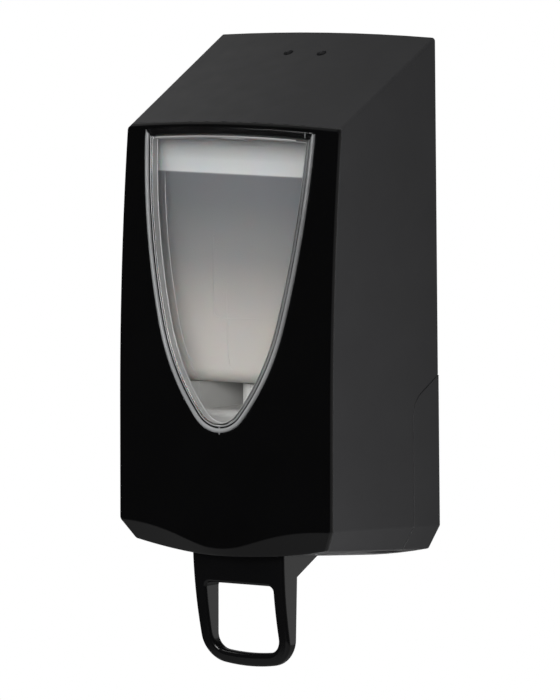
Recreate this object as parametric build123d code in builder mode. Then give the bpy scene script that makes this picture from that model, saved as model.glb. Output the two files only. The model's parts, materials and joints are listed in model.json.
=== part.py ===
from build123d import *
import os
from math import asin, cos, degrees, pi, radians, sin, sqrt, tan

# Wall mounted foam soap dispenser. Millimetres. The wall is the plane y = 0 and the user stands at -y.
# The origin is the middle of the four wall holes, +z is up, and a "depth" is a distance from the wall.

# Case: outline at the wall and at the front corners
case_depth = 95.8
rear_top_half = 69.3
rear_low_half = 72.6
front_half = 67.5
top_rear_z = 135.0
top_slope = 28.3
rear_crown = 1.9
front_crown = 4.9
rear_shoulder_z = -123.4
front_shoulder_z = -119.4
side_chamfer = 7.3
rear_corner_z = -136.2
front_corner_z = -130.0
rear_bow = 7.0
front_bow = 5.8
case_wall = 2.6
case_round = 2.0
cover_wall_gap = 0.6

# Front: bulged in plan, leaning back above the straight part
front_bulge = 4.2
front_lean_radius = 1400.0
front_lean_z = -58.0
chin_tip_z = -131.6
chin_corner_z = -119.9
chin_dip_half = 18.0
chin_rise_half = 26.0
chin_fall = 60.0
fascia_wall = 3.0
fascia_edge_round = 0.6
fascia_seat_gap = 0.1
flange_wall = 2.4
flange_width = 9.0
fascia_screw_radius = 1.5
fascia_screw_head = 2.8
fascia_screw_head_height = 1.8
fascia_screw_reach = 1.8
fascia_screw_clearance = 0.15
fascia_screw_sink = 0.6
fascia_screw_pilot_gap = 0.02
fascia_screw_side = [(60.5, 55.0), (60.5, -20.0), (60.5, -95.0)]

# Window lens: half outline from the top corner to the tip
lens_top_half = 54.4
lens_top_z = 86.6
lens_top_rise = 2.0
lens_waist_half = 50.0
lens_waist_z = 35.6
lens_hip_half = 40.0
lens_hip_z = -14.9
lens_apex_z = -79.0
lens_tip_round = 19.5
lens_corner_round = 3.0
lens_gap = 0.15
lens_flange = 1.6
lens_bead_width = 1.8
lens_bead_height = 0.7
lens_pane_inset = 5.0
lens_pane_depth = 4.0
lens_pane_wall = 1.2
lens_tray_gap = 0.4

# Seam between the cover and the ears of the wall plate
ear_depth = 22.5
ear_knee_z = -56.5
ear_top_z = -43.5
ear_round = 14.0
seam_gap = 0.6
tongue_depth = 36.0
tongue_half = 57.0

# Wall plate and its screw holes
plate_wall = 3.0
plate_gap = 0.8
wall_hole_x = 80.0
wall_hole_z = 140.0
wall_hole_radius = 2.6

# Cover hinge
hinge_depth = 14.0
hinge_z = -132.5
hinge_pin_radius = 2.5
hinge_running_gap = 0.06
hinge_press_gap = 0.02
hinge_lug_radius = 5.0
hinge_lug_x = 50.0
hinge_lug_wall = 6.0
hinge_side_gap = 0.5
hinge_boss_wall = 6.0
hinge_boss_half = 5.0
hinge_boss_top_z = -126.0
hinge_arm_reach = 44.0
hinge_pin_hold = 4.0

# Lever: axle across the cover, ring below the chin, fork under the pump head
axle_panel_gap = 0.5
lever_axle_z = -117.2
axle_radius = 2.5
axle_gap = 0.05
bush_wall = 1.6
axle_lug_x = 35.0
axle_lug_wall = 5.0
axle_lug_radius = 6.0
axle_end_reach = 3.0
clip_wall = 1.0
clip_radius = 4.6
lever_side_gap = 3.2
lever_front_gap = 4.5
ring_top_half = 29.8
ring_low_half = 28.2
ring_rear_depth = 70.0
ring_wall = 14.0
ring_toe_wall = 2.0
ring_bottom_z = -196.5
ring_bottom_bow = 4.0
ring_corner_round = 15.0
ring_panel_z = -152.0
ring_leg_width = 6.6
ring_bar_height = 9.2
ring_hole_top_round = 3.0
ring_hole_low_round = 9.0
ring_edge_round = 2.0
lever_cheek_wall = 6.0
lever_hub_radius = 7.0
gusset_depth = 50.0
gusset_low_z = -147.5
fork_inner_half = 9.3
fork_wall = 5.5
fork_knob_radius = 4.0
fork_bar_height = 6.0
fork_web_depth = 66.0
lever_panel_wall = 3.0
gusset_high_z = -137.0
ring_lean_z = -128.0

# Refill: tank, neck and pump on one upright axis
pump_depth = 46.0
bottle_half = 62.0
bottle_rear_depth = 14.0
bottle_front_depth = 78.0
bottle_bottom_z = -46.5
bottle_top_z = 92.0
bottle_round = 7.0
bottle_wall = 1.4
neck_radius = 15.0
neck_wall = 2.0
neck_length = 9.0
gasket_thickness = 1.0
cylinder_flange = 2.0
cylinder_radius = 13.2
cylinder_wall = 1.8
cylinder_length = 46.5
inlet_hole_radius = 1.2
inlet_ring_radius = 4.2
inlet_disc_radius = 6.4
inlet_disc_wall = 1.0
inlet_stem_radius = 1.4
inlet_head_radius = 2.3
collar_wall = 3.0
collar_length = 12.5
collar_lip = 2.0
collar_gap = 0.2
collar_ribs = 24
collar_rib_depth = 0.6
piston_height = 6.0
piston_gap = 0.05
piston_rest = 17.0
seal_height = 2.4
seal_depth = 1.6
stem_radius = 5.5
stem_bore = 3.2
stem_gap = 0.05
guide_plug = 5.0
guide_flange = 2.0
head_radius = 13.5
head_height = 3.7
head_rest_gap = 0.7
nozzle_radius = 8.0
nozzle_bore = 5.6
nozzle_tip_z = -139.0
mesh_height = 3.0
mesh_spacing = 1.6
mesh_count = 4
pump_stroke = 10.2
head_lift_gap = 0.3
spring_radius = 7.6
spring_wire = 0.9
spring_turns = 5

# Cradle that carries the refill
cradle_half = 63.0
cradle_shelf = 3.0
cradle_front_depth = 80.0
cradle_back_low_z = -98.0
cradle_rib_wall = 3.0
cradle_channel_half = 26.0
cradle_floor_gap = 0.5
cradle_floor_wall = 6.0
cradle_floor_round = 4.0
cradle_pump_gap = 1.0
cradle_apron_z = -66.0
cradle_screw_x = 104.0
cradle_screw_z = -74.0
cradle_screw_height = 26.0
screw_reach = 2.4
screw_tip_gap = 0.2
wall_screw_room = 7.0
screw_radius = 2.0
screw_head_radius = 3.6
screw_head_height = 2.2
screw_clearance = 0.2

# Latch behind the key holes
key_hole_radius = 2.7
key_hole_spacing = 21.4
key_hole_depth = 20.0
latch_half = 25.0
latch_side_gap = 0.4
latch_wall = 5.0
latch_back_gap = 0.8
latch_top_z = 120.5
latch_low_z = 97.0
latch_travel = 5.0
latch_rail_wall = 4.0
latch_rail_lip = 4.0
latch_ledge_wall = 3.0
latch_pad_reach = 24.0
latch_pad_half = 17.0
latch_pad_wall = 5.0
latch_hook_half = 9.0
latch_hook_reach = 41.0
latch_hook_wall = 3.0
latch_hook_z = 103.0
latch_hook_height = 4.0
keeper_depth = 34.5
keeper_wall = 3.0
keeper_half = 14.0
keeper_clear = 1.4
latch_spring_x = 28.0
latch_spring_radius = 2.4
latch_spring_wire = 0.6
latch_spring_turns = 5
latch_spring_length = 11.0

# Places that follow from the sizes above
slope_rise = tan(radians(top_slope))
bulge_radius = (front_half**2 + front_bulge**2) / (2 * front_bulge)
front_depth = case_depth + front_bulge
bulge_axis = Axis((0, bulge_radius - front_depth, 0), (0, 0, 1))
bulge_sweep = 4 * degrees(asin(rear_low_half / bulge_radius))
chin_slope = tan(radians(chin_fall))
lens_opening = lens_pane_inset - lens_pane_wall - lens_tray_gap
neck_end_z = bottle_bottom_z - neck_length
flange_top_z = neck_end_z - gasket_thickness
cylinder_top_z = flange_top_z - cylinder_flange
cylinder_end_z = cylinder_top_z - cylinder_length
cylinder_bore = cylinder_radius - cylinder_wall
piston_top_z = cylinder_top_z - piston_rest
guide_end_z = cylinder_end_z - guide_flange
head_top_z = guide_end_z - pump_stroke - head_rest_gap
head_low_z = head_top_z - head_height
knob_z = head_low_z - head_lift_gap - fork_knob_radius
ring_front_depth = ring_rear_depth + ring_wall
lever_hinge_y = lever_panel_wall + axle_panel_gap + axle_radius - ring_front_depth
lever_slot_half = ring_top_half + lever_side_gap
lever_slot_front = ring_front_depth + lever_front_gap
ring_toe_depth = ring_rear_depth + ring_toe_wall
ring_toe_z = ring_bottom_z - ring_toe_wall
hinge_y = -hinge_depth
pump_y = -pump_depth
shelf_top_z = bottle_bottom_z
shelf_low_z = shelf_top_z - cradle_shelf
cradle_back_y = -plate_wall - cradle_rib_wall
channel_outer = cradle_channel_half + cradle_rib_wall
collar_radius = neck_radius + collar_gap + collar_wall
collar_low_z = cylinder_top_z - collar_lip
floor_top_z = collar_low_z - cradle_floor_gap
floor_low_z = floor_top_z - cradle_floor_wall
piston_radius = cylinder_bore - piston_gap
piston_low_z = piston_top_z - piston_height
seal_low_z = piston_low_z + (piston_height - seal_height) / 2
stem_low_z = head_top_z - head_height / 2
underside_z = rear_corner_z - rear_bow - case_wall
boss_inner_x = hinge_lug_x - hinge_side_gap
boss_outer_x = hinge_lug_x + hinge_lug_wall + hinge_side_gap
pin_inner_x = boss_inner_x - hinge_boss_wall
pin_outer_x = boss_outer_x + hinge_pin_hold
axle_end_x = axle_lug_x + axle_lug_wall + axle_end_reach
clip_x = axle_lug_x + axle_lug_wall + axle_gap
bush_radius = axle_radius + axle_gap + bush_wall
cheek_x = ring_top_half - lever_cheek_wall
panel_rear_y = lever_panel_wall - ring_front_depth
lever_top_z = lever_axle_z + lever_hub_radius
hook_top_z = latch_hook_z + latch_hook_height
hook_low_z = latch_hook_z - latch_hook_wall
keeper_low_z = hook_top_z + keeper_clear
pad_low_z = latch_top_z - latch_pad_wall
latch_back_y = -plate_wall - latch_back_gap
latch_front_y = latch_back_y - latch_wall
rail_x = latch_half + latch_side_gap
rail_front_y = latch_front_y - latch_side_gap - latch_ledge_wall
ledge_top_z = latch_low_z - latch_spring_length
rail_low_z = latch_low_z - latch_travel
key_top_z = top_rear_z - key_hole_depth * slope_rise
key_plane = Plane(
    origin=(0, -key_hole_depth, key_top_z),
    x_dir=(1, 0, 0),
    z_dir=(0, -sin(radians(top_slope)), cos(radians(top_slope))),
)
fascia_screw_places = [(side * x, z) for side in (-1, 1) for x, z in fascia_screw_side]


def between(rear, front, depth):
    """Straight-line value at a depth, from its values at the wall and at the front corners."""
    return rear + (front - rear) * depth / case_depth


def front_at(x, z):
    """Distance along y of the bare front face at a place."""
    rise = max(z - front_lean_z, 0)
    reach = bulge_radius - rise**2 / (2 * front_lean_radius)
    return bulge_axis.position.Y - sqrt(reach**2 - x**2)


def case_section(depth, inset):
    """Case outline at a depth: crowned top, leaning sides, chamfered low corners and bowed bottom."""
    top_half = between(rear_top_half, front_half, depth)
    low_half = between(rear_low_half, front_half, depth)
    corner_half = low_half - side_chamfer
    top_z = top_rear_z - depth * slope_rise
    crown_z = top_z + between(rear_crown, front_crown, depth)
    shoulder_z = between(rear_shoulder_z, front_shoulder_z, depth)
    corner_z = between(rear_corner_z, front_corner_z, depth)
    bow_z = corner_z - between(rear_bow, front_bow, depth)
    with BuildSketch(Plane.XZ.offset(depth)) as section:
        with BuildLine():
            ThreePointArc((-top_half, top_z), (0, crown_z), (top_half, top_z))
            Polyline((top_half, top_z), (low_half, shoulder_z), (corner_half, corner_z))
            ThreePointArc((corner_half, corner_z), (0, bow_z), (-corner_half, corner_z))
            Polyline((-corner_half, corner_z), (-low_half, shoulder_z), (-top_half, top_z))
        make_face()
        if inset:
            offset(amount=-inset, kind=Kind.INTERSECTION, mode=Mode.REPLACE)
        else:
            fillet(section.vertices(), radius=case_round)
    return section.sketch


def case_block(inset, start=0.0, mode=Mode.ADD):
    """Solid case without its front face, from a start depth to beyond the front."""
    beyond = front_depth + case_wall * 4
    loft([case_section(start, inset), case_section(beyond, inset)], ruled=True, mode=mode)


def front_body(inset, mode=Mode.ADD):
    """Everything behind the front face, set back by an inset: an upright profile turned about one axis."""
    reach = bulge_radius - inset
    heart = bulge_radius - front_depth - case_depth
    low_z = rear_corner_z - case_depth
    rise = top_rear_z + case_depth - front_lean_z
    lean = rise**2 / (2 * front_lean_radius)
    outward = Vector(0, -1, 0).rotate(Axis.Z, -bulge_sweep / 2)
    side = Plane(origin=bulge_axis.position, x_dir=outward, z_dir=outward.cross(Vector(0, 0, 1)))
    with BuildSketch(side) as profile:
        with BuildLine():
            Line((reach, low_z), (reach, front_lean_z))
            Bezier(
                (reach, front_lean_z),
                (reach, front_lean_z + rise / 2),
                (reach - lean, front_lean_z + rise),
            )
            Polyline(
                (reach - lean, front_lean_z + rise),
                (heart, front_lean_z + rise),
                (heart, low_z),
                (reach, low_z),
            )
        make_face()
    revolve(profile.sketch, axis=bulge_axis, revolution_arc=bulge_sweep, mode=mode)


def chin_cut(inset):
    """Wedge under the wavy chin: a bell curve on the foremost plane, carried back and down."""
    lift = inset / cos(radians(chin_fall))
    corner_z = chin_corner_z + front_bulge * chin_slope + lift
    tip_z = chin_tip_z + lift
    corner_rise = 2 * front_bulge / front_half * chin_slope
    rise_z = corner_z - corner_rise * (front_half - chin_rise_half)
    side = front_half + case_wall * 4
    side_z = corner_z + corner_rise * (side - front_half)
    floor_z = chin_tip_z - case_depth
    with BuildSketch(Plane.XZ.offset(front_depth)) as wedge:
        with BuildLine() as outline:
            Bezier((0, tip_z), (chin_dip_half, tip_z), (chin_rise_half, rise_z), (front_half, corner_z))
            Polyline((front_half, corner_z), (side, side_z), (side, floor_z), (0, floor_z))
            mirror(outline.line, about=Plane.YZ)
        make_face()
    extrude(wedge.sketch, amount=case_depth, dir=(0, 1, -chin_slope), mode=Mode.SUBTRACT)


def behind_front(inset):
    """Everything further back than the front face and the chin, set back by an inset."""
    with BuildPart() as space:
        front_body(inset)
        chin_cut(inset)
    return space.part


def ear_profile(gap):
    """Side view of the ear: straight front edge, rounded knee and a slope up to the wall."""
    slope = (ear_top_z - ear_knee_z) / ear_depth
    with BuildSketch(Plane.YZ) as profile:
        with BuildLine():
            FilletPolyline(
                (ear_depth, ear_top_z + slope * ear_depth),
                (-ear_depth, ear_knee_z),
                (-ear_depth, rear_corner_z - ear_depth),
                radius=ear_round,
            )
            Polyline(
                (-ear_depth, rear_corner_z - ear_depth),
                (ear_depth, rear_corner_z - ear_depth),
                (ear_depth, ear_top_z + slope * ear_depth),
            )
        make_face()
        if gap:
            offset(amount=gap, mode=Mode.REPLACE)
    return profile.sketch


def lens_outline(inset, plane=Plane.XZ):
    """Shield outline of the window, set in from its outer edge."""
    with BuildSketch(plane) as shield:
        with BuildLine():
            upper_side = ThreePointArc(
                (lens_top_half, lens_top_z),
                (lens_waist_half, lens_waist_z),
                (lens_hip_half, lens_hip_z),
            )
            lower_side = TangentArc((lens_hip_half, lens_hip_z), (0, lens_apex_z), tangent=upper_side % 1)
            middle = lower_side @ 0.5
            ThreePointArc((0, lens_apex_z), (-middle.X, middle.Y), (-lens_hip_half, lens_hip_z))
            ThreePointArc(
                (-lens_hip_half, lens_hip_z),
                (-lens_waist_half, lens_waist_z),
                (-lens_top_half, lens_top_z),
            )
            ThreePointArc(
                (-lens_top_half, lens_top_z),
                (0, lens_top_z + lens_top_rise),
                (lens_top_half, lens_top_z),
            )
        make_face()
        fillet(shield.vertices().group_by(Axis.Y)[-1], radius=lens_corner_round)
        fillet(shield.vertices().group_by(Axis.Y)[0], radius=lens_tip_round)
        if inset:
            offset(amount=-inset, kind=Kind.INTERSECTION, mode=Mode.REPLACE)
    return shield.sketch


def lens_layer(outline_inset, outer, inner, mode=Mode.ADD):
    """Slab of the front's own curve between two insets, cut to the shield outline."""
    with BuildPart() as layer:
        extrude(lens_outline(outline_inset, Plane.XZ.offset(case_depth / 2)), amount=case_depth)
        front_body(outer, Mode.INTERSECT)
        front_body(inner, Mode.SUBTRACT)
    add(layer.part, mode=mode)


def tube(outer, inner, low_z, high_z, mode=Mode.ADD):
    """Upright ring or, with no inner radius, disc on the pump's axis."""
    with BuildSketch(Plane.XY.offset(low_z)) as ring:
        with Locations((0, pump_y)):
            Circle(outer)
            if inner:
                Circle(inner, mode=Mode.SUBTRACT)
    extrude(ring.sketch, amount=high_z - low_z, mode=mode)


def side_disc(radius, y, z, x_from, x_to, mode=Mode.ADD):
    """Round bar along x between two x values."""
    with BuildSketch(Plane.YZ.offset(x_from)) as disc:
        with Locations((y, z)):
            Circle(radius)
    extrude(disc.sketch, amount=x_to - x_from, mode=mode)


def side_plate(points, x_from, x_to, mode=Mode.ADD):
    """Flat plate along x from a side-view outline of (y, z) points."""
    with BuildSketch(Plane.YZ.offset(x_from)) as plate:
        with BuildLine():
            Polyline(*points, close=True)
        make_face()
    extrude(plate.sketch, amount=x_to - x_from, mode=mode)


def block(x_from, x_to, y_from, y_to, z_from, z_to, mode=Mode.ADD):
    """Square block between two corners."""
    with BuildSketch(Plane.XY.offset(z_from)) as base:
        with Locations(((x_from + x_to) / 2, (y_from + y_to) / 2)):
            Rectangle(x_to - x_from, y_to - y_from)
    extrude(base.sketch, amount=z_to - z_from, mode=mode)


def coil(radius, wire, turns, length, x, y, low_z):
    """Upright coil spring: one wire swept along half-turn arcs that climb at a steady rate."""
    rise = (length - wire) / turns / 2
    start_z = low_z + wire / 2
    with BuildLine() as path:
        for half_turn in range(2 * turns):
            turn = half_turn * pi
            points = [
                (
                    x + radius * cos(turn + step * pi / 2),
                    y + radius * sin(turn + step * pi / 2),
                    start_z + rise * (half_turn + step / 2),
                )
                for step in range(3)
            ]
            ThreePointArc(*points)
    with BuildSketch(Plane(origin=path.line @ 0, z_dir=path.line % 0)) as section:
        Circle(wire / 2)
    sweep(section.sketch, path=path.line)


def fascia_screw_shapes(loose, head_room, mode=Mode.ADD):
    """Screws along y at the flange, with added radius and added height behind the head."""
    for x, z in fascia_screw_places:
        front_y = front_at(x, z)
        seat_y = front_y + fascia_wall + fascia_seat_gap + flange_wall * fascia_screw_sink
        tip_y = front_y + fascia_wall - fascia_screw_reach
        with BuildSketch(Plane.XZ.offset(-seat_y)) as shank:
            with Locations((x, z)):
                Circle(fascia_screw_radius + loose)
        extrude(shank.sketch, amount=seat_y - tip_y, mode=mode)
        with BuildSketch(Plane.XZ.offset(-seat_y)) as head:
            with Locations((x, z)):
                Circle(fascia_screw_head + loose)
        extrude(head.sketch, amount=-fascia_screw_head_height - head_room, mode=mode)


def finish(piece, name):
    """Label a finished piece and write its file."""
    piece.part.label = name
    export_step(piece.part, f"parts/{name}.step")


os.makedirs("parts", exist_ok=True)

behind_fascia = behind_front(fascia_wall)
behind_seat = behind_front(fascia_wall + fascia_seat_gap)
behind_flange = behind_front(fascia_wall + fascia_seat_gap + flange_wall)

# Gloss front with the lens recess and window opening
with BuildPart() as front_fascia:
    case_block(0, cover_wall_gap)
    front_body(0, Mode.INTERSECT)
    chin_cut(0)
    add(behind_fascia, mode=Mode.SUBTRACT)
    lens_layer(0, -fascia_wall, lens_flange, mode=Mode.SUBTRACT)
    lens_layer(lens_opening, -fascia_wall, fascia_wall * 2, mode=Mode.SUBTRACT)
    fascia_screw_shapes(fascia_screw_pilot_gap, 0, Mode.SUBTRACT)
    forward_faces = front_fascia.faces().filter_by(lambda face: face.normal_at().Y < -0.5)
    front_edges = forward_faces.sort_by(SortBy.AREA)[-2:].edges()
    side_edges = front_edges.filter_by(lambda edge: abs(edge.center().X) > lens_top_half)
    top_edge = front_edges.filter_by(lambda edge: edge.center().Z > lens_top_z + lens_top_rise + lens_gap)
    fillet(side_edges + top_edge, radius=fascia_edge_round)
finish(front_fascia, "front_fascia")

# Clear window: flange in the recess, bead round its edge and a sunken pane with side walls
with BuildPart() as window_lens:
    lens_layer(lens_gap, 0, lens_flange - lens_gap)
    lens_layer(lens_gap, -lens_bead_height, lens_flange / 2)
    lens_layer(lens_gap + lens_bead_width, -fascia_wall, 0, mode=Mode.SUBTRACT)
    lens_layer(lens_pane_inset - lens_pane_wall, 0, lens_pane_depth + lens_pane_wall)
    lens_layer(lens_pane_inset, -fascia_wall, lens_pane_depth, mode=Mode.SUBTRACT)
finish(window_lens, "window_lens")

# Satin cover: hollow case behind the fascia, with a flange for it, hinge arms, axle lugs and latch keeper
with BuildPart() as cover_hollow:
    case_block(case_wall, -case_wall)
    add(behind_flange, mode=Mode.INTERSECT)

with BuildPart() as cover_ribs:
    for side in (-1, 1):
        arm_from = side * hinge_lug_x
        arm_to = side * (hinge_lug_x + hinge_lug_wall)
        arm_top = hinge_z + hinge_lug_radius
        arm_low = hinge_z - hinge_lug_radius
        arm_front = -hinge_arm_reach
        arm = [(hinge_y, arm_top), (arm_front, arm_top), (arm_front, arm_low), (hinge_y, arm_low)]
        side_plate(arm, arm_from, arm_to)
        side_disc(hinge_lug_radius, hinge_y, hinge_z, arm_from, arm_to)
        lug_from = side * axle_lug_x
        lug_to = side * (axle_lug_x + axle_lug_wall)
        lug_rear = lever_hinge_y + axle_lug_radius
        lug_front = lever_hinge_y - axle_lug_radius
        lug_low = lever_axle_z - axle_lug_radius * 4
        lug_top = lever_axle_z
        lug = [(lug_front, lug_top), (lug_rear, lug_top), (lug_rear, lug_low), (lug_front, lug_low)]
        side_plate(lug, lug_from, lug_to)
        side_disc(axle_lug_radius, lever_hinge_y, lever_axle_z, lug_from, lug_to)
    block(-keeper_half, keeper_half, -keeper_depth - keeper_wall, -keeper_depth, keeper_low_z, top_rear_z)
    case_block(case_wall / 2, mode=Mode.INTERSECT)

with BuildPart() as cover_shell:
    case_block(0, cover_wall_gap)
    add(behind_seat, mode=Mode.INTERSECT)
    add(cover_hollow.part, mode=Mode.SUBTRACT)
    case_block(case_wall + flange_width, -case_wall, Mode.SUBTRACT)
    lens_layer(lens_opening, 0, lens_pane_depth + lens_pane_wall + lens_tray_gap, mode=Mode.SUBTRACT)
    extrude(ear_profile(seam_gap), amount=rear_low_half * 2, both=True, mode=Mode.SUBTRACT)
    tongue_room = tongue_half + seam_gap
    tongue_edge = -tongue_depth - seam_gap
    block(-tongue_room, tongue_room, tongue_edge, case_wall, underside_z, hinge_boss_top_z, Mode.SUBTRACT)
    slot = (-lever_slot_half, lever_slot_half, -lever_slot_front, 0)
    block(*slot, underside_z, hinge_boss_top_z, Mode.SUBTRACT)
    fascia_screw_shapes(fascia_screw_clearance, fascia_screw_head, Mode.SUBTRACT)
    add(cover_ribs.part)
    for side in (-1, 1):
        pin_room = hinge_pin_radius + hinge_running_gap
        side_disc(pin_room, hinge_y, hinge_z, side * hinge_lug_x, side * tongue_half, Mode.SUBTRACT)
    axle_room = axle_radius + hinge_press_gap
    side_disc(axle_room, lever_hinge_y, lever_axle_z, -axle_end_x, axle_end_x, Mode.SUBTRACT)
    with BuildSketch(key_plane) as key_holes:
        with GridLocations(key_hole_spacing, 0, 2, 1):
            Circle(key_hole_radius)
    extrude(key_holes.sketch, amount=case_wall * 3, both=True, mode=Mode.SUBTRACT)
finish(cover_shell, "cover_shell")

# Wall plate: plate inside the cover's rim, ears and tongue flush with the case, hinge bosses, latch rails
with BuildPart() as lower_tray:
    block(-tongue_half, tongue_half, -tongue_depth, 0, underside_z, hinge_boss_top_z)
    extrude(ear_profile(0), amount=rear_low_half * 2, both=True)
    case_block(0, mode=Mode.INTERSECT)
    case_block(case_wall, plate_wall, Mode.SUBTRACT)

with BuildPart() as hinge_bosses:
    for side in (-1, 1):
        for boss_from, boss_to in ((pin_inner_x, boss_inner_x), (boss_outer_x, rear_low_half)):
            y_range = (hinge_y - hinge_boss_half, hinge_y + hinge_boss_half)
            x_range = sorted((side * boss_from, side * boss_to))
            block(*x_range, *y_range, underside_z, hinge_boss_top_z)
    case_block(case_wall / 2, mode=Mode.INTERSECT)

with BuildPart() as wall_plate:
    extrude(case_section(plate_wall, case_wall + plate_gap), amount=-plate_wall)
    add(lower_tray.part)
    for side in (-1, 1):
        notch = sorted((side * boss_inner_x, side * boss_outer_x))
        notch_rear = hinge_y + hinge_lug_radius + seam_gap
        block(*notch, -tongue_depth - seam_gap, notch_rear, underside_z, hinge_boss_top_z, Mode.SUBTRACT)
    add(hinge_bosses.part)
    for side in (-1, 1):
        pin_seat = hinge_pin_radius + hinge_press_gap
        side_disc(pin_seat, hinge_y, hinge_z, side * pin_inner_x, side * pin_outer_x, Mode.SUBTRACT)
        rail = sorted((side * rail_x, side * (rail_x + latch_rail_wall)))
        lip = sorted((side * (rail_x - latch_rail_lip), side * (rail_x + latch_rail_wall)))
        block(*rail, rail_front_y, -plate_wall, rail_low_z, latch_top_z)
        block(*lip, rail_front_y, latch_front_y - latch_side_gap, rail_low_z, latch_top_z)
    block(-latch_half, latch_half, rail_front_y, -plate_wall, ledge_top_z - latch_ledge_wall, ledge_top_z)
    with BuildSketch(Plane.XZ) as plate_holes:
        with GridLocations(wall_hole_x, wall_hole_z, 2, 2):
            Circle(wall_hole_radius)
    extrude(plate_holes.sketch, amount=plate_wall, mode=Mode.SUBTRACT)
    with BuildSketch(Plane.XZ.offset(plate_wall)) as screw_seats:
        with Locations((0, cradle_screw_z)):
            with GridLocations(cradle_screw_x, cradle_screw_height, 2, 2):
                Circle(screw_radius + hinge_press_gap)
    extrude(screw_seats.sketch, amount=-screw_reach - screw_tip_gap, mode=Mode.SUBTRACT)
finish(wall_plate, "wall_plate")

with BuildPart() as hinge_pins:
    for side in (-1, 1):
        side_disc(hinge_pin_radius, hinge_y, hinge_z, side * pin_inner_x, side * pin_outer_x)
finish(hinge_pins, "hinge_pins")

# Latch: slider with two key pads, and a hook that reaches forward under the keeper
with BuildPart() as latch_slider:
    block(-latch_half, latch_half, latch_front_y, latch_back_y, latch_low_z, latch_top_z)
    block(-latch_pad_half, latch_pad_half, -latch_pad_reach, latch_front_y, pad_low_z, latch_top_z)
    block(-latch_hook_half, latch_hook_half, -latch_hook_reach, latch_front_y, hook_low_z, latch_hook_z)
    nose_rear = -latch_hook_reach + latch_hook_wall
    block(-latch_hook_half, latch_hook_half, -latch_hook_reach, nose_rear, hook_low_z, hook_top_z)
finish(latch_slider, "latch_slider")

with BuildPart() as latch_springs:
    for side in (-1, 1):
        coil(
            latch_spring_radius,
            latch_spring_wire,
            latch_spring_turns,
            latch_spring_length,
            side * latch_spring_x / 2,
            latch_front_y + latch_wall / 2,
            ledge_top_z,
        )
finish(latch_springs, "latch_springs")

# Fascia screws: from behind, through the cover's flange
with BuildPart() as fascia_screws:
    fascia_screw_shapes(0, 0)
finish(fascia_screws, "fascia_screws")

# Refill tank with its neck, on the pump's axis
def tank(inset):
    """Upright tank with rounded edges, set in from its outer faces."""
    half = bottle_half - inset
    rear = -bottle_rear_depth - inset
    front = -bottle_front_depth + inset
    with BuildPart() as body:
        block(-half, half, front, rear, bottle_bottom_z + inset, bottle_top_z - inset)
        fillet(body.edges(), radius=bottle_round - inset)
    return body.part


with BuildPart() as refill_bottle:
    add(tank(0))
    tube(neck_radius, 0, neck_end_z, bottle_bottom_z + bottle_wall)
    add(tank(bottle_wall), mode=Mode.SUBTRACT)
    tube(neck_radius - neck_wall, 0, neck_end_z, bottle_bottom_z + bottle_wall * 2, Mode.SUBTRACT)
finish(refill_bottle, "refill_bottle")

with BuildPart() as neck_gasket:
    tube(neck_radius, neck_radius - neck_wall, flange_top_z, neck_end_z)
finish(neck_gasket, "neck_gasket")

with BuildPart() as bottle_collar:
    tube(collar_radius, cylinder_radius + collar_gap, collar_low_z, cylinder_top_z)
    tube(collar_radius, neck_radius + collar_gap, cylinder_top_z, collar_low_z + collar_length)
    with BuildSketch(Plane.XY.offset(collar_low_z)) as grip:
        with Locations((0, pump_y)):
            with PolarLocations(collar_radius, collar_ribs):
                Circle(collar_rib_depth)
    extrude(grip.sketch, amount=collar_length, mode=Mode.SUBTRACT)
finish(bottle_collar, "bottle_collar")

with BuildPart() as pump_cylinder:
    tube(neck_radius, 0, cylinder_top_z, flange_top_z)
    tube(cylinder_radius, cylinder_bore, cylinder_end_z, cylinder_top_z)
    tube(inlet_stem_radius + hinge_press_gap, 0, cylinder_top_z, flange_top_z, Mode.SUBTRACT)
    with BuildSketch(Plane.XY.offset(cylinder_top_z)) as inlets:
        with Locations((0, pump_y)):
            with PolarLocations(inlet_ring_radius, 4):
                Circle(inlet_hole_radius)
    extrude(inlets.sketch, amount=cylinder_flange, mode=Mode.SUBTRACT)
finish(pump_cylinder, "pump_cylinder")

with BuildPart() as inlet_valve:
    tube(inlet_disc_radius, 0, cylinder_top_z - inlet_disc_wall, cylinder_top_z)
    tube(inlet_stem_radius, 0, cylinder_top_z, flange_top_z)
    tube(inlet_head_radius, 0, flange_top_z, flange_top_z + inlet_disc_wall)
finish(inlet_valve, "inlet_valve")

with BuildPart() as stem_guide:
    tube(cylinder_radius, stem_radius + stem_gap, guide_end_z, cylinder_end_z)
    plug_radius = cylinder_bore - hinge_press_gap
    tube(plug_radius, stem_radius + stem_gap, cylinder_end_z, cylinder_end_z + guide_plug)
finish(stem_guide, "stem_guide")

with BuildPart() as pump_spring:
    coil(spring_radius, spring_wire, spring_turns, piston_rest, 0, pump_y, piston_top_z)
finish(pump_spring, "pump_spring")

# Pump head: piston and seal on a hollow stem, with the nozzle and its foam mesh below
with BuildPart() as pump_piston:
    tube(piston_radius, stem_radius + hinge_press_gap, piston_low_z, piston_top_z)
    tube(piston_radius, piston_radius - seal_depth, seal_low_z, seal_low_z + seal_height, Mode.SUBTRACT)
finish(pump_piston, "pump_piston")

with BuildPart() as piston_seal:
    tube(piston_radius, piston_radius - seal_depth, seal_low_z, seal_low_z + seal_height)
finish(piston_seal, "piston_seal")

with BuildPart() as pump_stem:
    tube(stem_radius, stem_bore, stem_low_z, piston_top_z)
finish(pump_stem, "pump_stem")

with BuildPart() as nozzle_head:
    tube(head_radius, stem_radius + hinge_press_gap, stem_low_z, head_top_z)
    tube(head_radius, nozzle_bore, head_low_z, stem_low_z)
    tube(nozzle_radius, nozzle_bore, nozzle_tip_z, head_low_z)
finish(nozzle_head, "nozzle_head")

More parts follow.
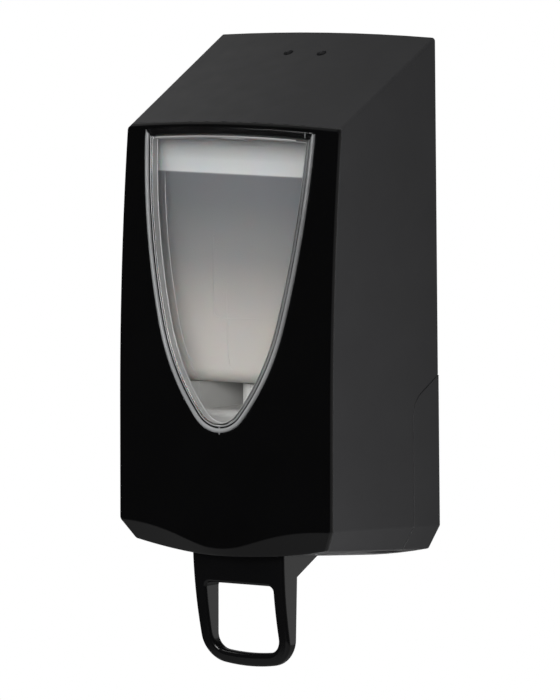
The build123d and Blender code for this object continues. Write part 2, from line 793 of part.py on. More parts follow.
with BuildPart() as foam_mesh:
    tube(nozzle_bore - hinge_press_gap, 0, stem_low_z - mesh_height, stem_low_z)
    with BuildSketch(Plane.XY.offset(stem_low_z - mesh_height)) as gaps:
        with Locations((0, pump_y)):
            with GridLocations(mesh_spacing, mesh_spacing, mesh_count, mesh_count):
                Rectangle(mesh_spacing / 2, mesh_spacing / 2)
    extrude(gaps.sketch, amount=mesh_height, mode=Mode.SUBTRACT)
finish(foam_mesh, "foam_mesh")

# Cradle: shelf with a channel for the refill's neck, floor with the pump's hole, back plate, ribs and apron
with BuildPart() as refill_cradle:
    block(-cradle_half, cradle_half, cradle_back_y, -plate_wall, cradle_back_low_z, shelf_top_z)
    block(-cradle_half, cradle_half, -cradle_front_depth, -plate_wall, shelf_low_z, shelf_top_z)
    for side in (-1, 1):
        rib = sorted((side * (cradle_half - cradle_rib_wall), side * cradle_half))
        corners = [
            (-plate_wall, shelf_low_z),
            (-cradle_front_depth, shelf_low_z),
            (-cradle_front_depth, cradle_apron_z),
            (cradle_back_y, cradle_back_low_z),
            (-plate_wall, cradle_back_low_z),
        ]
        side_plate(corners, *rib)
    apron_rear = cradle_rib_wall - cradle_front_depth
    block(-cradle_half, cradle_half, -cradle_front_depth, apron_rear, cradle_apron_z, shelf_top_z)
    tube(channel_outer, 0, floor_low_z, shelf_low_z)
    block(-channel_outer, channel_outer, -cradle_front_depth, pump_y, floor_low_z, shelf_low_z)
    channel = (-cradle_channel_half, cradle_channel_half)
    tube(cradle_channel_half, 0, floor_top_z, shelf_top_z, Mode.SUBTRACT)
    block(*channel, -cradle_front_depth, pump_y, floor_top_z, shelf_top_z, Mode.SUBTRACT)
    tube(cylinder_radius + cradle_pump_gap, 0, floor_low_z, floor_top_z, Mode.SUBTRACT)
    lip = refill_cradle.edges().filter_by(Axis.X).filter_by_position(Axis.Z, floor_top_z, floor_top_z)
    fillet(lip.group_by(Axis.Y)[0], radius=cradle_floor_round)
    with BuildSketch(Plane.XZ.offset(plate_wall)) as openings:
        with GridLocations(wall_hole_x, wall_hole_z, 2, 2):
            Circle(wall_screw_room)
        with Locations((0, cradle_screw_z)):
            with GridLocations(cradle_screw_x, cradle_screw_height, 2, 2):
                Circle(screw_radius + screw_clearance)
    extrude(openings.sketch, amount=cradle_rib_wall, mode=Mode.SUBTRACT)
finish(refill_cradle, "refill_cradle")

with BuildPart() as cradle_screws:
    for plane, radius, length in (
        (Plane.XZ.offset(-cradle_back_y), screw_radius, -cradle_rib_wall - screw_reach),
        (Plane.XZ.offset(-cradle_back_y), screw_head_radius, screw_head_height),
    ):
        with BuildSketch(plane) as screw:
            with Locations((0, cradle_screw_z)):
                with GridLocations(cradle_screw_x, cradle_screw_height, 2, 2):
                    Circle(radius)
        extrude(screw.sketch, amount=length)
finish(cradle_screws, "cradle_screws")

# Lever: ring below the chin, hollow panel, side cheeks on the axle and two prongs under the pump head
with BuildPart() as lever_side:
    with BuildSketch(Plane.YZ.offset(-ring_top_half)) as profile:
        with BuildLine():
            Line((-ring_rear_depth, lever_top_z), (-ring_front_depth, lever_top_z))
            Line((-ring_front_depth, lever_top_z), (-ring_front_depth, ring_lean_z))
            TangentArc((-ring_front_depth, ring_lean_z), (-ring_toe_depth, ring_toe_z), tangent=(0, -1))
            Line((-ring_toe_depth, ring_toe_z), (-ring_rear_depth, ring_toe_z))
            Line((-ring_rear_depth, ring_toe_z), (-ring_rear_depth, lever_top_z))
        make_face()
    extrude(profile.sketch, amount=ring_top_half * 2)
    cheek_outline = [
        (-ring_toe_depth, lever_top_z),
        (-gusset_depth - lever_cheek_wall, lever_top_z),
        (-gusset_depth, lever_axle_z - lever_hub_radius),
        (-gusset_depth, gusset_high_z),
        (-ring_rear_depth, gusset_low_z),
        (-ring_toe_depth, gusset_low_z),
    ]
    side_plate(cheek_outline, -ring_top_half, ring_top_half)

with BuildPart() as lever_handle:
    corner_z = ring_bottom_z + ring_bottom_bow
    with BuildSketch(Plane.XZ) as ring_front:
        with BuildLine():
            Polyline(
                (-ring_low_half, corner_z),
                (-ring_top_half, lever_top_z),
                (ring_top_half, lever_top_z),
                (ring_low_half, corner_z),
            )
            ThreePointArc((ring_low_half, corner_z), (0, ring_bottom_z), (-ring_low_half, corner_z))
        make_face()
        fillet(ring_front.vertices().group_by(Axis.Y)[0], radius=ring_corner_round)
    extrude(ring_front.sketch, amount=ring_front_depth + ring_wall)
    add(lever_side.part, mode=Mode.INTERSECT)
    hole_half = ring_low_half - ring_leg_width
    hole_low_z = ring_bottom_z + ring_bar_height
    with BuildSketch(Plane.XZ) as finger_hole:
        with BuildLine():
            Polyline(
                (-hole_half, hole_low_z),
                (-hole_half, ring_panel_z),
                (hole_half, ring_panel_z),
                (hole_half, hole_low_z),
            )
            hole_bow_z = hole_low_z - ring_bottom_bow / 2
            ThreePointArc((hole_half, hole_low_z), (0, hole_bow_z), (-hole_half, hole_low_z))
        make_face()
        fillet(finger_hole.vertices().group_by(Axis.Y)[-1], radius=ring_hole_top_round)
        fillet(finger_hole.vertices().group_by(Axis.Y)[0], radius=ring_hole_low_round)
    extrude(finger_hole.sketch, amount=case_depth, mode=Mode.SUBTRACT)
    front_edges = lever_handle.faces().filter_by(lambda face: face.normal_at().Y < -0.5).edges()
    hole_top = front_edges.filter_by(Axis.X).sort_by(Axis.Z)[:1]
    fillet(front_edges.filter_by(Axis.X, reverse=True) + hole_top, radius=ring_edge_round)
    block(-cheek_x, cheek_x, panel_rear_y, 0, ring_panel_z + lever_panel_wall, lever_top_z, Mode.SUBTRACT)
    for side in (-1, 1):
        prong = sorted((side * fork_inner_half, side * (fork_inner_half + fork_wall)))
        bar_low = knob_z - fork_knob_radius
        bar_high = bar_low + fork_bar_height
        bar = [(pump_y, bar_low), (pump_y, bar_high), (panel_rear_y, bar_high), (panel_rear_y, bar_low)]
        side_plate(bar, *prong)
        side_disc(fork_knob_radius, pump_y, knob_z, *prong)
    block(-cheek_x, cheek_x, panel_rear_y, -fork_web_depth, bar_low, bar_low + lever_panel_wall)
    for side in (-1, 1):
        cheek = sorted((side * cheek_x, side * ring_top_half))
        side_disc(bush_radius + hinge_press_gap, lever_hinge_y, lever_axle_z, *cheek, Mode.SUBTRACT)
finish(lever_handle, "lever_handle")

with BuildPart() as lever_bushes:
    for side in (-1, 1):
        cheek = sorted((side * cheek_x, side * ring_top_half))
        side_disc(bush_radius, lever_hinge_y, lever_axle_z, *cheek)
        side_disc(axle_radius + axle_gap, lever_hinge_y, lever_axle_z, *cheek, Mode.SUBTRACT)
finish(lever_bushes, "lever_bushes")

with BuildPart() as lever_axle:
    side_disc(axle_radius, lever_hinge_y, lever_axle_z, -axle_end_x, axle_end_x)
finish(lever_axle, "lever_axle")

with BuildPart() as axle_clips:
    for side in (-1, 1):
        clip = sorted((side * clip_x, side * (clip_x + clip_wall)))
        side_disc(clip_radius, lever_hinge_y, lever_axle_z, *clip)
        side_disc(axle_radius + hinge_press_gap, lever_hinge_y, lever_axle_z, *clip, Mode.SUBTRACT)
        mouth = (lever_hinge_y - axle_radius / 2, lever_hinge_y + axle_radius / 2)
        block(*clip, *mouth, lever_axle_z - clip_radius, lever_axle_z, Mode.SUBTRACT)
finish(axle_clips, "axle_clips")
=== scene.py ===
import json
import math

import bmesh
import bpy
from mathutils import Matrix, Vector


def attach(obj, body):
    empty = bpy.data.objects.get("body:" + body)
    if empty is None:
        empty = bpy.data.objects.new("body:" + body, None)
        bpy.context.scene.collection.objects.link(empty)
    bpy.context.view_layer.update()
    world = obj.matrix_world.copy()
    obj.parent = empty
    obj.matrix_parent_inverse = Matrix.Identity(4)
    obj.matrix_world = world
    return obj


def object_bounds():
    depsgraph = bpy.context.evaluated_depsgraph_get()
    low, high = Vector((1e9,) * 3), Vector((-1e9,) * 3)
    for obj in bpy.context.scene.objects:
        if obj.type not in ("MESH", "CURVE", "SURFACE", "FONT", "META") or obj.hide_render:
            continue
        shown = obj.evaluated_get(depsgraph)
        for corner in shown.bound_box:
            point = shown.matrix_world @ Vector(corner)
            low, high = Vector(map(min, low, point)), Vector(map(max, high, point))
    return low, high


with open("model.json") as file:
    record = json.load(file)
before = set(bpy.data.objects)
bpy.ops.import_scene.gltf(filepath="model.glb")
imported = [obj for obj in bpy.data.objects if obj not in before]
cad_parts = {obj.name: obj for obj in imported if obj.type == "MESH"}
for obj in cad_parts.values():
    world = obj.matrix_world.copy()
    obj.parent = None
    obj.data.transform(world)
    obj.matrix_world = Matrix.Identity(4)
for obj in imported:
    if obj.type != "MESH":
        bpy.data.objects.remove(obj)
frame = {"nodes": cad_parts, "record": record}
cad_low, cad_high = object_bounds()
nodes = frame["nodes"]

# Camera, as the photograph was taken: from the front right, slightly above the middle
VIEW_AZIMUTH = 35.0
VIEW_ELEVATION = 4.22
VIEW_DISTANCE = 3.245
VIEW_TARGET = Vector((0.0006, -0.045, -0.0306))
LENS_LENGTH = 315.0
SENSOR_SIZE = 36.0

# Stage
FLOOR_DROP = 0.5
FLOOR_RADIUS = 0.85
FLOOR_COLOR = (0.36, 0.36, 0.36)
AMBIENT = 0.3
FRONT_DARK = 0.02
BACK_BRIGHT = 0.17
ROOM_TURNS = (-0.1, 0.7)
WHITE = 1.0

# Lamps: name, azimuth, elevation, distance, size, power, and the nodes kept out of the light or kept to it
SATIN_NODES = ["cover_shell", "wall_plate"]
GLOSS_NODES = ["front_fascia"]
LEVER_NODES = ["lever_handle"]
INSIDE_NODES = ["refill_bottle", "refill_cradle"]
LAMPS = (
    ("overhead", -30.0, 66.0, 2.2, 1.4, 12.0, GLOSS_NODES, "EXCLUDE"),
    ("front", 12.0, 12.0, 2.6, 0.8, 22.0, GLOSS_NODES + INSIDE_NODES, "EXCLUDE"),
    ("right", 48.0, 12.0, 0.5, 0.3, 1.7, SATIN_NODES, "INCLUDE"),
    ("behind_left", -115.0, 42.0, 0.75, 0.35, 0.14, SATIN_NODES, "INCLUDE"),
    ("low_right", 40.0, -45.0, 0.4, 0.12, 1.2, SATIN_NODES, "INCLUDE"),
    ("rear", 200.0, 0.0, 1.6, 0.9, 12.0, SATIN_NODES, "INCLUDE"),
    ("left", -85.0, -20.0, 1.2, 0.5, 3.0, SATIN_NODES, "INCLUDE"),
    ("into_window", 33.0, 12.0, 2.6, 0.8, 25.5, INSIDE_NODES, "INCLUDE"),
    ("lever_side", 145.0, -6.0, 1.2, 0.8, 0.95, LEVER_NODES, "INCLUDE"),
)

# Colours of the blacks, and the stretch of an even grain
SATIN_BLACK = (0.022, 0.022, 0.023)
GLOSS_BLACK = (0.006, 0.006, 0.0065)
LEVER_BLACK = (0.005, 0.005, 0.0055)
EVEN = (1.0, 1.0, 1.0)

MM = 0.001

# The case's front, in millimetres: bulged in plan about an upright axis, leaning back above the straight part
BULGE_RADIUS = 544.511
BULGE_AXIS_Y = 444.511
LEAN_FROM_Z = -58.0
LEAN_RADIUS = 1400.0

# The window's outline, in millimetres: the top's arc, and the right side's arcs (centre, radius, last angle)
TOP_ARC_Z = -652.24
TOP_ARC_RADIUS = 740.84
SIDE_ARCS = (
    ((-414.717, 101.383), 469.350, -14.345),
    ((-80.909, 16.020), 124.800, -39.794),
    ((0.0, -51.373), 19.5, -90.0),
)
ARC_STEPS = 28
SIDE_POINTS = 2 * len(SIDE_ARCS) * ARC_STEPS + 1

# The window's pieces, in millimetres: the pane's place, the rounds of its foot and rim, its ridge, lip and
# clip; their pale colours are painted highlights, and the wall's sheet and the ridge are painted highlights
# only
PANE_INSET = 5.0
PANE_DEPTH = 4.0
FOOT_ROUND = 0.7
ROUND_STEPS = 8
RIM_INSET = 1.3
RIM_HALF = 1.15
RIM_HEIGHT = 1.2
RIM_SEAT = 0.1
PIECE_SEAT = 0.05
# Insets of the thin pale sheet that paints the highlight on the pane's wall
WALL_HIGHLIGHT_INSETS = (4.9, 5.12)
# Inset and heights of the fine pale bead that paints the long highlight line on the pane's left
GLINT_RIDGE_INSET = 10.5
GLINT_RIDGE_SPAN = (-45.0, 78.0)
LIP_Z = 84.0
LIP_HALF = 47
LIP_STEP = 6
LIP_CURVE = 1480.0
CLIP_Z = 83.0
CORNER_MARKS = (("corner_mark_inner", 48.3, 84.0, 87.0), ("corner_mark_outer", 52.6, 82.5, 86.5))

# The refill, in millimetres: its front face, and the half width and heights that its colours and painted light
# and shade follow
TANK_FRONT = -78.0
SHADE_HALF = 60.0
TANK_LOW_Z = -46.5
TANK_HIGH_Z = 100.0

# The soap's level leans a little, and the tank's colours go from its base up: warm and pale at the base and
# darkening upwards with painted light and shade, grey soap below the level, bright empty tank above it, painted
# shade from the case's top at the shoulder
SOAP_TILT = 0.016
TANK_COLORS_WITH_PAINTED_SHADE = [
    (0.0, (0.67, 0.625, 0.585)),
    (0.2, (0.57, 0.535, 0.505)),
    (0.45, (0.29, 0.288, 0.287)),
    (0.65, (0.2, 0.205, 0.217)),
    (0.749, (0.192, 0.198, 0.213)),
    (0.754, (0.75, 0.75, 0.75)),
    (0.8, (0.69, 0.69, 0.69)),
    (0.9, (0.12, 0.12, 0.124)),
]


def link(obj):
    """Puts a new object into the scene."""
    bpy.context.scene.collection.objects.link(obj)
    return obj


def principled(name, color, roughness, **values):
    """A new material with one Principled shader; further inputs are given by their names with underscores."""
    material = bpy.data.materials.new(name)
    material.use_nodes = True
    shader = material.node_tree.nodes["Principled BSDF"]
    shader.inputs["Base Color"].default_value = (*color, 1.0)
    shader.inputs["Roughness"].default_value = roughness
    for key, value in values.items():
        shader.inputs[key.replace("_", " ")].default_value = value
    return material


def shader_of(material):
    """The Principled shader of a material."""
    return material.node_tree.nodes["Principled BSDF"]


def place(material):
    """Object coordinates, in metres in the shared frame."""
    tree = material.node_tree
    node = tree.nodes.get("Place") or tree.nodes.new("ShaderNodeTexCoord")
    node.name = "Place"
    return node.outputs["Object"]


def noise(material, size, detail=2.0, stretch=EVEN):
    """Noise with features of about a size in metres, stretched along the axes."""
    tree = material.node_tree
    mapping = tree.nodes.new("ShaderNodeMapping")
    mapping.inputs["Scale"].default_value = stretch
    tree.links.new(place(material), mapping.inputs["Vector"])
    texture = tree.nodes.new("ShaderNodeTexNoise")
    texture.inputs["Scale"].default_value = 1.0 / size
    texture.inputs["Detail"].default_value = detail
    tree.links.new(mapping.outputs["Vector"], texture.inputs["Vector"])
    return texture.outputs["Fac"]


def spread(material, value, low, high, from_low=0.3, from_high=0.7):
    """A value mapped to a range."""
    tree = material.node_tree
    node = tree.nodes.new("ShaderNodeMapRange")
    for name, number in (("From Min", from_low), ("From Max", from_high), ("To Min", low), ("To Max", high)):
        node.inputs[name].default_value = number
    tree.links.new(value, node.inputs["Value"])
    return node.outputs["Result"]


def vary_roughness(material, size, low, high):
    """Uneven gloss over a size."""
    gloss = spread(material, noise(material, size), low, high)
    material.node_tree.links.new(gloss, shader_of(material).inputs["Roughness"])


def color_ramp(material, value, stops):
    """Colour that follows a value through (position, colour) stops."""
    tree = material.node_tree
    ramp = tree.nodes.new("ShaderNodeValToRGB")
    while len(ramp.color_ramp.elements) < len(stops):
        ramp.color_ramp.elements.new(0.5)
    for element, (position, color) in zip(ramp.color_ramp.elements, stops):
        element.position = position
        element.color = (*color, 1.0)
    tree.links.new(value, ramp.inputs["Fac"])
    return ramp.outputs["Color"]


def vary_color(material, value, stops):
    """Base colour that follows a value through (position, colour) stops."""
    color = color_ramp(material, value, stops)
    material.node_tree.links.new(color, shader_of(material).inputs["Base Color"])


def shade_across(material, stops):
    """Paints light and shade: multiplies the base colour by greys that follow x from the left to the right of
    the window.
    """
    tree = material.node_tree
    base = shader_of(material).inputs["Base Color"]
    split = tree.nodes.new("ShaderNodeSeparateXYZ")
    tree.links.new(place(material), split.inputs["Vector"])
    across = spread(material, split.outputs["X"], 0.0, 1.0, -SHADE_HALF * MM, SHADE_HALF * MM)
    greys = color_ramp(material, across, [(at, (grey, grey, grey)) for at, grey in stops])
    mix = tree.nodes.new("ShaderNodeVectorMath")
    mix.operation = "MULTIPLY"
    tree.links.new(base.links[0].from_socket, mix.inputs[0])
    tree.links.new(greys, mix.inputs[1])
    tree.links.new(mix.outputs["Vector"], base)


def add_bump(material, layers, edge_radius=0.0):
    """Surface relief from (size, height, stretch) noise layers, in metres, over edges rounded by a radius."""
    tree = material.node_tree
    below = None
    if edge_radius:
        rounded = tree.nodes.new("ShaderNodeBevel")
        rounded.samples = 6
        rounded.inputs["Radius"].default_value = edge_radius
        below = rounded.outputs["Normal"]
    for size, height, stretch in layers:
        bump = tree.nodes.new("ShaderNodeBump")
        bump.inputs["Strength"].default_value = 1.0
        bump.inputs["Distance"].default_value = height
        tree.links.new(noise(material, size, 3.0, stretch), bump.inputs["Height"])
        if below:
            tree.links.new(below, bump.inputs["Normal"])
        below = bump.outputs["Normal"]
    tree.links.new(below, shader_of(material).inputs["Normal"])


def moulded(name, color, roughness, grain_size, grain_height, mottling=0.12, edge_radius=0.0, **values):
    """Moulded plastic: fine grain, faint flow marks, slightly uneven colour and gloss."""
    material = principled(name, color, roughness, **values)
    darker = tuple(c * (1.0 - mottling) for c in color)
    lighter = tuple(min(c * (1.0 + mottling), 1.0) for c in color)
    vary_color(material, noise(material, 0.03, 4.0), [(0.3, darker), (0.7, lighter)])
    vary_roughness(material, 0.012, roughness * 0.95, roughness * 1.05)
    layers = [(0.06, grain_height * 0.3, (1.0, 1.0, 0.3)), (grain_size, grain_height, EVEN)]
    add_bump(material, layers, edge_radius)
    return material


def metal(name, color, roughness, grain_stretch):
    """Drawn or turned steel: bright, with fine lines along one way."""
    material = principled(name, color, roughness, Metallic=1.0)
    vary_roughness(material, 0.002, roughness * 0.8, roughness * 1.3)
    vary_color(material, noise(material, 0.004), [(0.3, tuple(c * 0.85 for c in color)), (0.7, color)])
    add_bump(material, [(0.0006, 0.000004, grain_stretch)])
    return material


def clear_plastic(name):
    """Clear plastic that lets lamps light what is behind it."""
    material = principled(name, (0.98, 0.98, 0.98), 0.02, Transmission_Weight=1.0, IOR=1.46)
    vary_roughness(material, 0.02, 0.01, 0.03)
    add_bump(material, [(0.05, 0.000003, EVEN)])
    tree = material.node_tree
    path = tree.nodes.new("ShaderNodeLightPath")
    through = tree.nodes.new("ShaderNodeBsdfTransparent")
    mix = tree.nodes.new("ShaderNodeMixShader")
    output = tree.nodes["Material Output"]
    tree.links.new(path.outputs["Is Shadow Ray"], mix.inputs["Fac"])
    tree.links.new(shader_of(material).outputs["BSDF"], mix.inputs[1])
    tree.links.new(through.outputs["BSDF"], mix.inputs[2])
    tree.links.new(mix.outputs["Shader"], output.inputs["Surface"])
    return material


def window_edge_highlight(name):
    """Edge of the clear plastic as a pale grey that paints its highlights, with painted shade on its right."""
    material = moulded(name, (0.34, 0.345, 0.35), 0.12, 0.01, 0.000004, 0.1, Transmission_Weight=0.25)
    # Painted light over the left and middle, painted shade at the far right
    shade_across(material, [(0.0, 1.6), (0.3, 1.5), (0.5, 1.5), (0.75, 1.5), (1.0, 0.9)])
    return material


def frosted_tank(name):
    """Translucent tank with the soap's level: its colour follows the height, with painted light and shade, and
    painted shade darkens it at the sides.
    """
    material = principled(name, (0.8, 0.8, 0.78), 0.42, Subsurface_Weight=0.25, Subsurface_Scale=0.006)
    tree = material.node_tree
    split = tree.nodes.new("ShaderNodeSeparateXYZ")
    tree.links.new(place(material), split.inputs["Vector"])
    tilt = tree.nodes.new("ShaderNodeMath")
    tilt.operation = "MULTIPLY_ADD"
    tilt.inputs[1].default_value = SOAP_TILT
    tree.links.new(split.outputs["X"], tilt.inputs[0])
    tree.links.new(split.outputs["Z"], tilt.inputs[2])
    height = spread(material, tilt.outputs["Value"], 0.0, 1.0, TANK_LOW_Z * MM, TANK_HIGH_Z * MM)
    vary_color(material, height, TANK_COLORS_WITH_PAINTED_SHADE)
    # Painted shade: darker towards both sides of the window, most on the right
    shade_across(material, [(0.0, 0.9), (0.35, 1.03), (0.6, 1.0), (0.85, 0.86), (1.0, 0.7)])
    vary_roughness(material, 0.015, 0.36, 0.48)
    add_bump(material, [(0.05, 0.0002, EVEN), (0.0008, 0.00001, EVEN)])
    return material


def make_materials():
    """One material for each slot of the record, and two pale greys that paint highlights on the window's
    pieces.
    """
    dull = {"Specular_IOR_Level": 0.35}
    hazy = {"Transmission_Weight": 0.3}
    return {
        "case_satin": moulded("case_satin", SATIN_BLACK, 0.46, 0.0007, 0.000012, 0.05, 0.0002, **dull),
        "front_gloss": moulded("front_gloss", GLOSS_BLACK, 0.07, 0.02, 0.000004, 0.12, 0.0015),
        "lever_gloss": moulded("lever_gloss", LEVER_BLACK, 0.16, 0.008, 0.000006, 0.12, 0.0006),
        "window_clear": clear_plastic("window_clear"),
        # Painted highlights: the next two pale greys stand in for the clear window's reflections
        "window_edge_highlight": window_edge_highlight("window_edge_highlight"),
        "window_highlight": moulded("window_highlight", (0.7, 0.7, 0.7), 0.1, 0.01, 0.000004, 0.1, **hazy),
        "tank_translucent": frosted_tank("tank_translucent"),
        "latch_dark": moulded("latch_dark", (0.012, 0.012, 0.0125), 0.4, 0.0008, 0.00001),
        "inner_white": moulded("inner_white", (0.5, 0.5, 0.485), 0.4, 0.0009, 0.00001, 0.04),
        "pump_white": moulded("pump_white", (0.74, 0.74, 0.72), 0.28, 0.001, 0.000006, 0.03),
        "foam_mesh": moulded("foam_mesh", (0.62, 0.62, 0.6), 0.5, 0.0005, 0.00002, 0.06),
        "seal": moulded("seal", (0.03, 0.03, 0.032), 0.6, 0.0005, 0.00001),
        "bush": moulded("bush", (0.6, 0.58, 0.53), 0.35, 0.0006, 0.000008, 0.05),
        "steel": metal("steel", (0.6, 0.6, 0.61), 0.24, (1.0, 8.0, 8.0)),
    }


def dress_nodes(materials):
    """Gives every CAD node the material of its slot."""
    slots = {row["node"]: row["material_slot"] for row in frame["record"]["subparts"]}
    for name, obj in nodes.items():
        for material_slot in obj.material_slots:
            material_slot.material = materials[slots[name]]


def front_point(x, z, depth):
    """Place on the front's own curve, a depth behind its face. Millimetres in, metres out."""
    rise = max(z - LEAN_FROM_Z, 0.0)
    reach = BULGE_RADIUS - rise**2 / (2.0 * LEAN_RADIUS) - depth
    return Vector((x, BULGE_AXIS_Y - math.sqrt(reach**2 - x**2), z)) * MM


def window_outline(inset):
    """The window's outline set in from its edge: (x, z) in millimetres, round from the top right corner."""
    half = []
    (center_x, center_z), radius, last = SIDE_ARCS[0]
    corner_x = center_x + radius - inset
    corner_z = TOP_ARC_Z + math.sqrt((TOP_ARC_RADIUS - inset) ** 2 - corner_x**2)
    angle = math.asin((corner_z - center_z) / (radius - inset))
    for (center_x, center_z), radius, last in SIDE_ARCS:
        turn = math.radians(last) - angle
        for step in range(ARC_STEPS):
            now = angle + turn * step / ARC_STEPS
            reach = radius - inset
            half.append((center_x + reach * math.cos(now), center_z + reach * math.sin(now)))
        angle = math.radians(last)
    tip = (0.0, SIDE_ARCS[-1][0][1] - SIDE_ARCS[-1][1] + inset)
    other = [(-x, z) for x, z in reversed(half)]
    top = []
    for step in range(1, ARC_STEPS):
        x = half[0][0] * (2.0 * step / ARC_STEPS - 1.0)
        top.append((x, TOP_ARC_Z + math.sqrt((TOP_ARC_RADIUS - inset) ** 2 - x**2)))
    return half + [tip] + other + top


def window_strip(name, profile, material, all_round=True):
    """Strip with a closed profile of (inset, depth) pairs in millimetres, all round or below the top."""
    shape = bmesh.new()
    rings = []
    for inset, depth in profile:
        outline = window_outline(inset)
        if not all_round:
            outline = outline[:SIDE_POINTS]
        rings.append([shape.verts.new(front_point(x, z, depth)) for x, z in outline])
    for ring, beyond in zip(rings, rings[1:] + rings[:1]):
        for here in range(len(ring) if all_round else len(ring) - 1):
            after = (here + 1) % len(ring)
            shape.faces.new((ring[here], ring[after], beyond[after], beyond[here]))
    if not all_round:
        shape.faces.new([ring[0] for ring in rings])
        shape.faces.new([ring[-1] for ring in rings])
    bmesh.ops.recalc_face_normals(shape, faces=shape.faces)
    mesh = bpy.data.meshes.new(name)
    shape.to_mesh(mesh)
    shape.free()
    mesh.polygons.foreach_set("use_smooth", [True] * len(mesh.polygons))
    mesh.set_sharp_from_angle(angle=math.radians(35.0))
    mesh.materials.append(material)
    piece = link(bpy.data.objects.new(name, mesh))
    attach(piece, "cover")


def bead(name, points, radius, material, body, ends=1.0):
    """Round bead along a smooth path of points, in millimetres, thinner or fuller at its ends."""
    data = bpy.data.curves.new(name, "CURVE")
    data.dimensions = "3D"
    data.bevel_depth = radius * MM
    data.bevel_resolution = 3
    data.use_fill_caps = True
    path = data.splines.new("BEZIER")
    path.bezier_points.add(len(points) - 1)
    for knot, point in zip(path.bezier_points, points):
        knot.co = Vector(point) * MM
        knot.handle_left_type = "AUTO"
        knot.handle_right_type = "AUTO"
    path.bezier_points[0].radius = ends
    path.bezier_points[-1].radius = ends
    data.materials.append(material)
    piece = link(bpy.data.objects.new(name, data))
    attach(piece, body)


def on_window(inset, depth, low_z, high_z, every=4):
    """Points in millimetres along the left side of the window, set in from its edge."""
    sides = window_outline(inset)[:SIDE_POINTS]
    left = [(x, z) for x, z in sides if x < 0.0 and low_z <= z <= high_z]
    return [front_point(x, z, depth) / MM for x, z in left[::every]]


def add_window_details(materials):
    """Rim, wall, foot and ridge of the sunken pane, its lip and clip, and the small marks round it, all in pale
    greys that paint highlights; the wall's sheet and the ridge are painted highlights only.
    """
    edge, shine = materials["window_edge_highlight"], materials["window_highlight"]
    foot = [(PANE_INSET, PANE_DEPTH + PIECE_SEAT)]
    rim = []
    for step in range(ROUND_STEPS + 1):
        turn = math.radians(90.0 * step / ROUND_STEPS)
        foot_inset = PANE_INSET + FOOT_ROUND * (1.0 - math.cos(turn))
        foot.append((foot_inset, PANE_DEPTH - FOOT_ROUND * (1.0 - math.sin(turn))))
        rim_inset = RIM_INSET - RIM_HALF * math.cos(turn * 2.0)
        rim.append((rim_inset, RIM_SEAT - RIM_HEIGHT * math.sin(turn * 2.0)))
    # Painted highlight in the round of the pane's foot
    window_strip("pane_foot", foot, shine)
    # Painted highlight: a thin pale sheet along the pane's side wall
    outer, inner = WALL_HIGHLIGHT_INSETS
    wall_end = PANE_DEPTH - PIECE_SEAT
    wall = [(outer, RIM_SEAT), (inner, RIM_SEAT), (inner, wall_end), (outer, wall_end)]
    window_strip("pane_wall_highlight", wall, shine)
    line = [(3.3, PIECE_SEAT), (3.45, -0.12), (3.65, -0.2), (3.85, -0.12), (4.0, PIECE_SEAT)]
    window_strip("border_line", line, edge, False)
    window_strip("window_rim", rim, edge, False)
    # Painted highlight: a fine pale bead for the long reflection line down the pane's left
    ridge = on_window(GLINT_RIDGE_INSET, PANE_DEPTH, *GLINT_RIDGE_SPAN)
    bead("pane_glint_ridge", ridge, 0.22, shine, "cover", 0.2)
    lip_x = range(-LIP_HALF, LIP_HALF + 1, LIP_STEP)
    lip = [front_point(x, LIP_Z - x * x / LIP_CURVE, 0.0) / MM for x in lip_x]
    bead("pane_lip", lip, 0.4, shine, "cover")
    clip = [front_point(x, CLIP_Z, 0.6) / MM for x in (-3.0, 4.0, 11.0)]
    bead("pane_clip", clip, 0.5, edge, "cover", 0.6)
    for name, x, low, high in CORNER_MARKS:
        mark = [front_point(x, z, 0.0) / MM for z in (low, (low + high) / 2.0, high)]
        bead(name, mark, 0.35, edge, "cover", 0.5)
    joint = [front_point(0.6, z, -0.4) / MM for z in (-67.4, -69.4, -71.6)]
    bead("rim_joint", joint, 0.55, edge, "cover", 0.4)


def add_tank_details(materials):
    """Raised outline of the refill's label panel and the seam beside it."""
    tank = materials["tank_translucent"]
    y = TANK_FRONT
    panel = [(-18.7, y, 30.0), (-18.7, y, 10.0), (-18.7, y, -7.5), (-17.7, y, -10.9), (-14.6, y, -12.0)]
    panel += [(0.0, y, -12.0), (24.0, y, -12.0)]
    bead("tank_label_edge", panel, 0.22, tank, "wall_unit", 0.3)
    seam = [(-10.3, y, 2.6), (-9.7, y, -18.5), (-8.4, y, -36.0), (-6.9, y, -39.5)]
    bead("tank_seam", seam, 0.22, tank, "wall_unit", 0.3)


def away_from(azimuth, elevation):
    """Direction from the object, by degrees to the right of its front and above it."""
    a, e = math.radians(azimuth), math.radians(elevation)
    return Vector((math.sin(a) * math.cos(e), -math.cos(a) * math.cos(e), math.sin(e)))


def make_camera():
    """Camera at the photograph's viewing angle."""
    data = bpy.data.cameras.new("camera")
    data.lens = LENS_LENGTH
    data.sensor_width = SENSOR_SIZE
    data.sensor_fit = "AUTO"
    data.clip_end = 100.0
    camera = link(bpy.data.objects.new("camera", data))
    back = away_from(VIEW_AZIMUTH, VIEW_ELEVATION)
    camera.location = VIEW_TARGET + back * VIEW_DISTANCE
    camera.rotation_euler = (-back).to_track_quat("-Z", "Y").to_euler()
    bpy.context.scene.camera = camera


def make_lamp(name, azimuth, elevation, distance, size, power, kept, state):
    """Square soft lamp that points at the object, with some nodes kept out of its light, or kept to it."""
    data = bpy.data.lights.new(name, "AREA")
    data.size = size
    data.energy = power
    lamp = link(bpy.data.objects.new(name, data))
    away = away_from(azimuth, elevation)
    lamp.location = VIEW_TARGET + away * distance
    lamp.rotation_euler = (-away).to_track_quat("-Z", "Y").to_euler()
    lamp.visible_camera = False
    group = bpy.data.collections.new(name + "_group")
    lamp.light_linking.receiver_collection = group
    for node in kept:
        group.objects.link(nodes[node])
    for member in group.collection_objects:
        member.light_linking.link_state = state


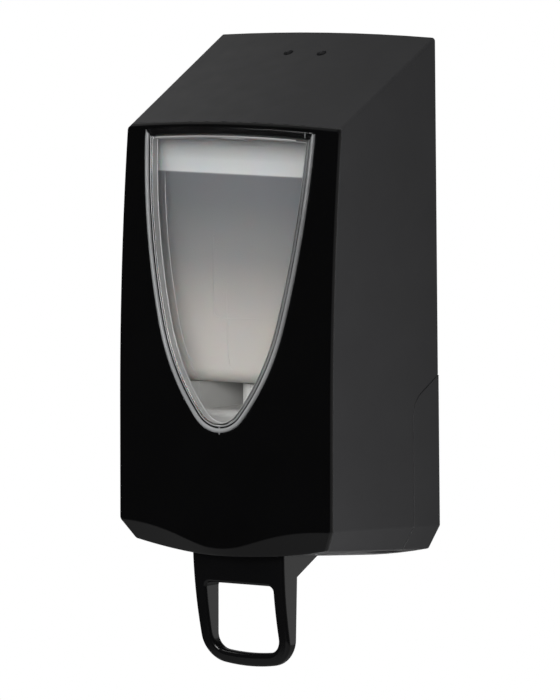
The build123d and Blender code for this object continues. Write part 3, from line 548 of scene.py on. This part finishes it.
def make_world():
    """White surroundings, with the front of the room dark in what the gloss reflects."""
    world = bpy.data.worlds.new("studio")
    bpy.context.scene.world = world
    world.use_nodes = True
    tree = world.node_tree
    background = tree.nodes["Background"]
    background.inputs["Color"].default_value = (1.0, 1.0, 1.0, 1.0)
    path = tree.nodes.new("ShaderNodeLightPath")
    coordinates = tree.nodes.new("ShaderNodeTexCoord")
    split = tree.nodes.new("ShaderNodeSeparateXYZ")
    tree.links.new(coordinates.outputs["Generated"], split.inputs["Vector"])
    strength = None
    front_end, back_end = ROOM_TURNS
    for ray, back in (("Is Glossy Ray", BACK_BRIGHT), ("Is Transmission Ray", WHITE), ("Is Camera Ray", None)):
        mix = tree.nodes.new("ShaderNodeMix")
        mix.inputs["A"].default_value = AMBIENT
        mix.inputs["B"].default_value = WHITE
        tree.links.new(path.outputs[ray], mix.inputs["Factor"])
        if strength:
            tree.links.new(strength, mix.inputs["A"])
        if back:
            room = tree.nodes.new("ShaderNodeMapRange")
            room.inputs["From Min"].default_value = front_end
            room.inputs["From Max"].default_value = back_end
            room.inputs["To Min"].default_value = FRONT_DARK
            room.inputs["To Max"].default_value = back
            tree.links.new(split.outputs["Y"], room.inputs["Value"])
            tree.links.new(room.outputs["Result"], mix.inputs["B"])
        strength = mix.outputs["Result"]
    tree.links.new(strength, background.inputs["Strength"])


def make_floor():
    """Pale round floor below the object, which keeps its shadow and fades into the white around it."""
    mesh = bpy.data.meshes.new("floor")
    shape = bmesh.new()
    bmesh.ops.create_circle(shape, cap_ends=True, segments=96, radius=FLOOR_RADIUS)
    shape.to_mesh(mesh)
    shape.free()
    floor = link(bpy.data.objects.new("floor", mesh))
    floor.location.z = cad_low.z - FLOOR_DROP
    material = principled("floor", FLOOR_COLOR, 0.9, Specular_IOR_Level=0.0)
    tree = material.node_tree
    path = tree.nodes.new("ShaderNodeLightPath")
    glow = tree.nodes.new("ShaderNodeEmission")
    mix = tree.nodes.new("ShaderNodeMixShader")
    length = tree.nodes.new("ShaderNodeVectorMath")
    length.operation = "LENGTH"
    tree.links.new(place(material), length.inputs[0])
    rim = spread(material, length.outputs["Value"], 0.25, 1.0, 0.2 * FLOOR_RADIUS, 0.9 * FLOOR_RADIUS)
    factor = tree.nodes.new("ShaderNodeMath")
    factor.operation = "MULTIPLY"
    tree.links.new(rim, factor.inputs[0])
    tree.links.new(path.outputs["Is Camera Ray"], factor.inputs[1])
    tree.links.new(factor.outputs["Value"], mix.inputs["Fac"])
    tree.links.new(shader_of(material).outputs["BSDF"], mix.inputs[1])
    tree.links.new(glow.outputs["Emission"], mix.inputs[2])
    tree.links.new(mix.outputs["Shader"], tree.nodes["Material Output"].inputs["Surface"])
    mesh.materials.append(material)


materials = make_materials()
dress_nodes(materials)
add_window_details(materials)
add_tank_details(materials)
make_camera()
make_world()
make_floor()
for lamp in LAMPS:
    make_lamp(*lamp)
bpy.context.scene.view_settings.view_transform = "Standard"
